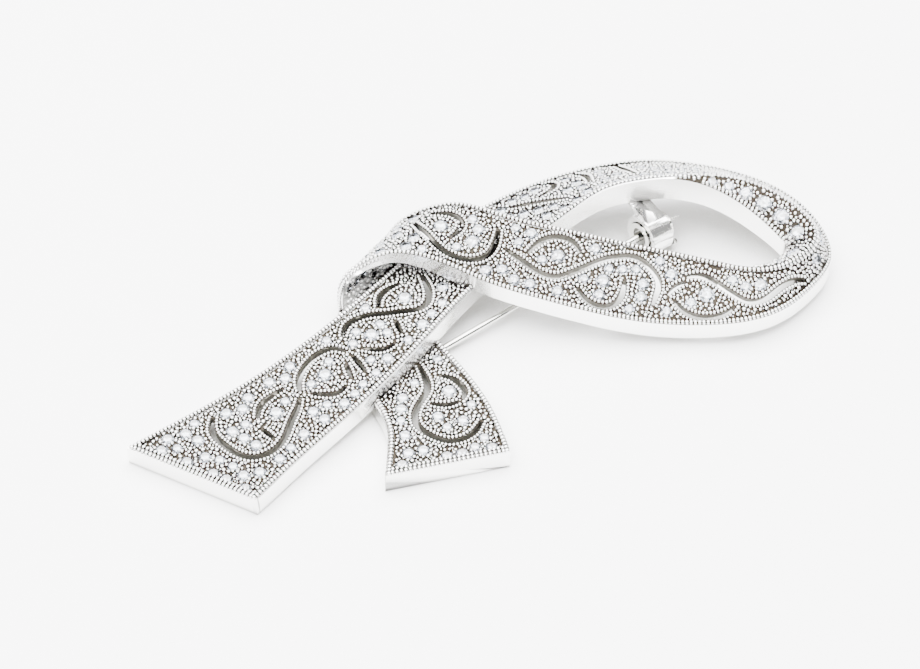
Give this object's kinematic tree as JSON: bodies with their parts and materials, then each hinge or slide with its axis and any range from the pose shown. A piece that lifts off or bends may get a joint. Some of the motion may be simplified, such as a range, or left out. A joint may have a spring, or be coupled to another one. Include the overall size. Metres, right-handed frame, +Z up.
{
  "type": "ribbon brooch",
  "caption": "Pierced pave-set awareness-ribbon brooch in white metal, with a hinged pin stem and a turning safety catch on its back.",
  "frame": {"origin": "middle of the underside of the brooch as it lies on its back", "axes": "+X along the long way of the brooch towards the loop, +Y across it, +Z up out of the jewelled face"},
  "size_m": [0.0654, 0.0427, 0.0079],
  "materials": {
    "metal": "rhodium-bright polish, dark in the recesses",
    "stone": "clear cut stone",
    "findings": "bright polish"
  },
  "bodies": {
    "brooch": {"ribbon": "metal", "stones_front_tail": "stone", "stones_far_strand": "stone", "stones_near_strand": "stone", "stones_fold": "stone", "stones_back_tail": "stone", "stones_inner_band": "stone", "hinge_rivet": "findings"},
    "pin": {"pin_stem": "findings"},
    "lock": {"catch_roller": "findings"}
  },
  "joints": [
    {"name": "pin_hinge", "type": "hinge", "parent": "brooch", "child": "pin", "pos_m": [-0.00757, -0.00376, 0.00061], "axis": [-0.5906, 0.807, 0], "range_deg": [0, 95]},
    {"name": "catch_turn", "type": "hinge", "parent": "brooch", "child": "lock", "pos_m": [0.01564, 0.01323, 0.0022], "axis": [-0.807, -0.5906, 0], "range_deg": [0, 110]}
  ]
}
